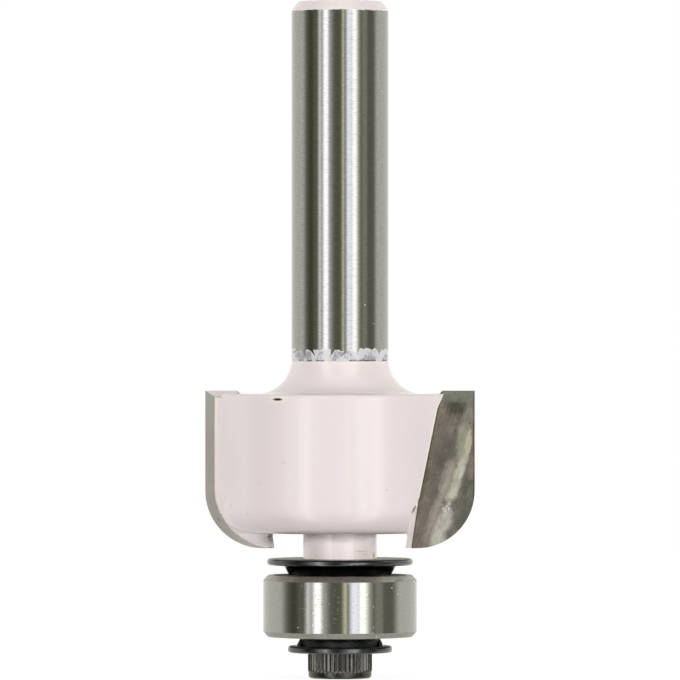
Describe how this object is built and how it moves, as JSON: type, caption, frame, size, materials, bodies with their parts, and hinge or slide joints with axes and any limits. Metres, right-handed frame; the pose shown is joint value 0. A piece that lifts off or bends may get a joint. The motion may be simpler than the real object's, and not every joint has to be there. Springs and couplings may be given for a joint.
{
  "type": "router bit",
  "caption": "Edge-rounding router bit with a straight shank, two brazed hard tips with round corners, and a guide bearing held by a socket-head screw.",
  "frame": {"origin": "on the tool's axis, at the flat end of the bearing screw that the bit stands on", "axes": "+Z along the tool's axis towards the shank's end; the cutting edges lie in the XZ plane, at +X and -X"},
  "size_m": [0.0222, 0.02, 0.0558],
  "materials": {
    "body_paint": "glossy pale pinkish paint on steel, with the shank bare and polished",
    "hard_tip": "ground hard metal, stained",
    "black_steel": "black oxide, satin",
    "bearing_steel": "polished bearing steel",
    "shield_plate": "plain pressed steel",
    "cage_steel": "plain pressed steel"
  },
  "bodies": {
    "cutter": {"cutter_body": "body_paint", "carbide_tip_1": "hard_tip", "carbide_tip_2": "hard_tip", "upper_dust_shield": "black_steel", "lower_dust_shield": "black_steel", "bearing_screw": "black_steel", "inner_ring": "bearing_steel"},
    "outer_race": {"outer_ring": "bearing_steel", "bearing_shield_upper": "shield_plate", "bearing_shield_lower": "shield_plate", "snap_wire_upper": "shield_plate", "snap_wire_lower": "shield_plate"},
    "ball_cage": {"cage_upper": "cage_steel", "cage_lower": "cage_steel", "cage_rivets": "cage_steel"},
    "ball_1": {"ball_1": "bearing_steel"},
    "ball_2": {"ball_2": "bearing_steel"},
    "ball_3": {"ball_3": "bearing_steel"},
    "ball_4": {"ball_4": "bearing_steel"},
    "ball_5": {"ball_5": "bearing_steel"},
    "ball_6": {"ball_6": "bearing_steel"},
    "ball_7": {"ball_7": "bearing_steel"}
  },
  "joints": [
    {"name": "outer_ring_spin", "type": "hinge", "parent": "cutter", "child": "outer_race", "pos_m": [0, 0, 0.00597], "axis": [0, 0, 1], "continuous": true},
    {"name": "cage_orbit", "type": "hinge", "parent": "cutter", "child": "ball_cage", "pos_m": [0, 0, 0.00597], "axis": [0, 0, 1], "continuous": true},
    {"name": "ball_1_spin", "type": "hinge", "parent": "ball_cage", "child": "ball_1", "pos_m": [0.00437, 0, 0.00597], "axis": [0, 0, 1], "continuous": true},
    {"name": "ball_2_spin", "type": "hinge", "parent": "ball_cage", "child": "ball_2", "pos_m": [0.00272, 0.00341, 0.00597], "axis": [0, 0, 1], "continuous": true},
    {"name": "ball_3_spin", "type": "hinge", "parent": "ball_cage", "child": "ball_3", "pos_m": [-0.00097, 0.00426, 0.00597], "axis": [0, 0, 1], "continuous": true},
    {"name": "ball_4_spin", "type": "hinge", "parent": "ball_cage", "child": "ball_4", "pos_m": [-0.00393, 0.00189, 0.00597], "axis": [0, 0, 1], "continuous": true},
    {"name": "ball_5_spin", "type": "hinge", "parent": "ball_cage", "child": "ball_5", "pos_m": [-0.00393, -0.00189, 0.00597], "axis": [0, 0, 1], "continuous": true},
    {"name": "ball_6_spin", "type": "hinge", "parent": "ball_cage", "child": "ball_6", "pos_m": [-0.00097, -0.00426, 0.00597], "axis": [0, 0, 1], "continuous": true},
    {"name": "ball_7_spin", "type": "hinge", "parent": "ball_cage", "child": "ball_7", "pos_m": [0.00272, -0.00341, 0.00597], "axis": [0, 0, 1], "continuous": true}
  ],
  "couplings": [
    {"joint": "cage_orbit", "follows": "outer_ring_spin", "ratio": 0.63635},
    {"joint": "ball_1_spin", "follows": "outer_ring_spin", "ratio": 1.6971},
    {"joint": "ball_2_spin", "follows": "outer_ring_spin", "ratio": 1.6971},
    {"joint": "ball_3_spin", "follows": "outer_ring_spin", "ratio": 1.6971},
    {"joint": "ball_4_spin", "follows": "outer_ring_spin", "ratio": 1.6971},
    {"joint": "ball_5_spin", "follows": "outer_ring_spin", "ratio": 1.6971},
    {"joint": "ball_6_spin", "follows": "outer_ring_spin", "ratio": 1.6971},
    {"joint": "ball_7_spin", "follows": "outer_ring_spin", "ratio": 1.6971}
  ]
}
